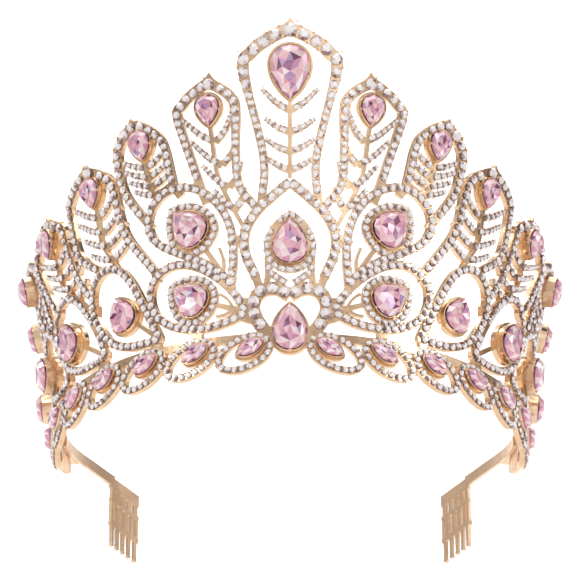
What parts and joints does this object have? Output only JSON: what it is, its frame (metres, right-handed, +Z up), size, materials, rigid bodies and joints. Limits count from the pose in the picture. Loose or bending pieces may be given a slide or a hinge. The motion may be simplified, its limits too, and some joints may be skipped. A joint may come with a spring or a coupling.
{
  "type": "crystal crown",
  "caption": "Openwork tiara of peacock feathers in rose-gold metal, set with pink pear and marquise crystals and clear stones, open at the back, with side combs.",
  "frame": {"origin": "centre of the ring in the plane of the band's lower edge", "axes": "+Z up with the crown as worn, its ring leaning back 22 degrees; the middle feather faces -Y; +X is to the right in the picture"},
  "size_m": [0.179, 0.1228, 0.1717],
  "materials": {
    "rose_gold_casting": "polished rose-gold plating",
    "pink_crystal": "cut, foil-backed",
    "rose_gold_sheet": "satin rose-gold plating"
  },
  "bodies": {
    "root": {"openwork_ring": "rose_gold_casting", "crystal_top": "pink_crystal", "crystal_middle": "pink_crystal", "crystal_heart": "pink_crystal", "crystal_feather_1_right": "pink_crystal", "crystal_feather_2_right": "pink_crystal", "crystal_feather_3_right": "pink_crystal", "crystal_feather_4_right": "pink_crystal", "crystal_feather_5_right": "pink_crystal", "crystal_feather_6_right": "pink_crystal", "crystal_eye_1_right": "pink_crystal", "crystal_eye_2_right": "pink_crystal", "crystal_eye_3_right": "pink_crystal", "crystal_eye_4_right": "pink_crystal", "crystal_eye_5_right": "pink_crystal", "crystal_eye_6_right": "pink_crystal", "crystal_band_1_right": "pink_crystal", "crystal_band_2_right": "pink_crystal", "crystal_band_3_right": "pink_crystal", "crystal_band_4_right": "pink_crystal", "crystal_band_5_right": "pink_crystal", "crystal_band_6_right": "pink_crystal", "crystal_band_7_right": "pink_crystal", "crystal_band_8_right": "pink_crystal", "comb_right": "rose_gold_sheet", "crystal_feather_1_left": "pink_crystal", "crystal_feather_2_left": "pink_crystal", "crystal_feather_3_left": "pink_crystal", "crystal_feather_4_left": "pink_crystal", "crystal_feather_5_left": "pink_crystal", "crystal_feather_6_left": "pink_crystal", "crystal_eye_1_left": "pink_crystal", "crystal_eye_2_left": "pink_crystal", "crystal_eye_3_left": "pink_crystal", "crystal_eye_4_left": "pink_crystal", "crystal_eye_5_left": "pink_crystal", "crystal_eye_6_left": "pink_crystal", "crystal_band_1_left": "pink_crystal", "crystal_band_2_left": "pink_crystal", "crystal_band_3_left": "pink_crystal", "crystal_band_4_left": "pink_crystal", "crystal_band_5_left": "pink_crystal", "crystal_band_6_left": "pink_crystal", "crystal_band_7_left": "pink_crystal", "crystal_band_8_left": "pink_crystal", "comb_left": "rose_gold_sheet"}
  },
  "joints": []
}
